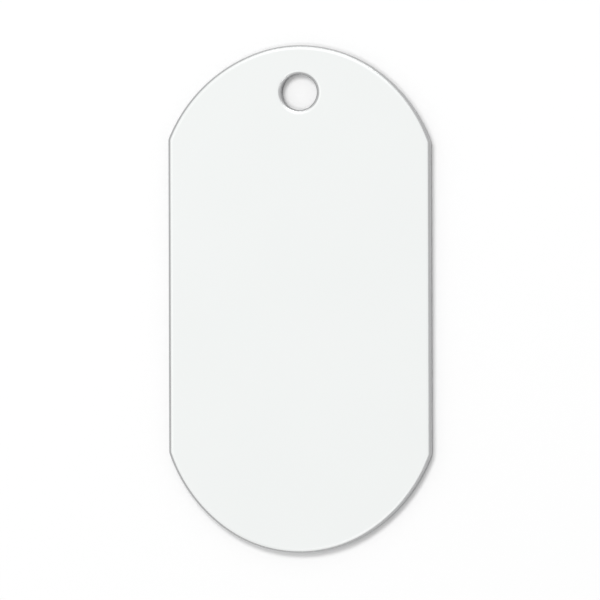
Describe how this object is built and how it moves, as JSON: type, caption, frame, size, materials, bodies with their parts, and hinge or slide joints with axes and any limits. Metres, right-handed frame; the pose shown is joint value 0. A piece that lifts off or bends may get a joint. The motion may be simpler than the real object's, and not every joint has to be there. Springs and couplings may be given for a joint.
{
  "type": "identification dog tag",
  "caption": "Blank identification tag: a flat metal plate with straight sides, arched ends and a chain hole near one end, coated white on its front.",
  "frame": {"origin": "under the middle of the tag, on the plane of its back", "axes": "+Z out of the coated front face, +Y along the tag towards the hole, +X across the tag"},
  "size_m": [0.0266, 0.0508, 0.0013],
  "materials": {
    "bare_aluminium": "bare blanked aluminium, satin rolled back, bright and dull bands on the sheared wall",
    "white_coat": "baked white gloss coat with a faint cool tint"
  },
  "bodies": {
    "root": {"metal_blank": "bare_aluminium", "face_coat": "white_coat"}
  },
  "joints": []
}
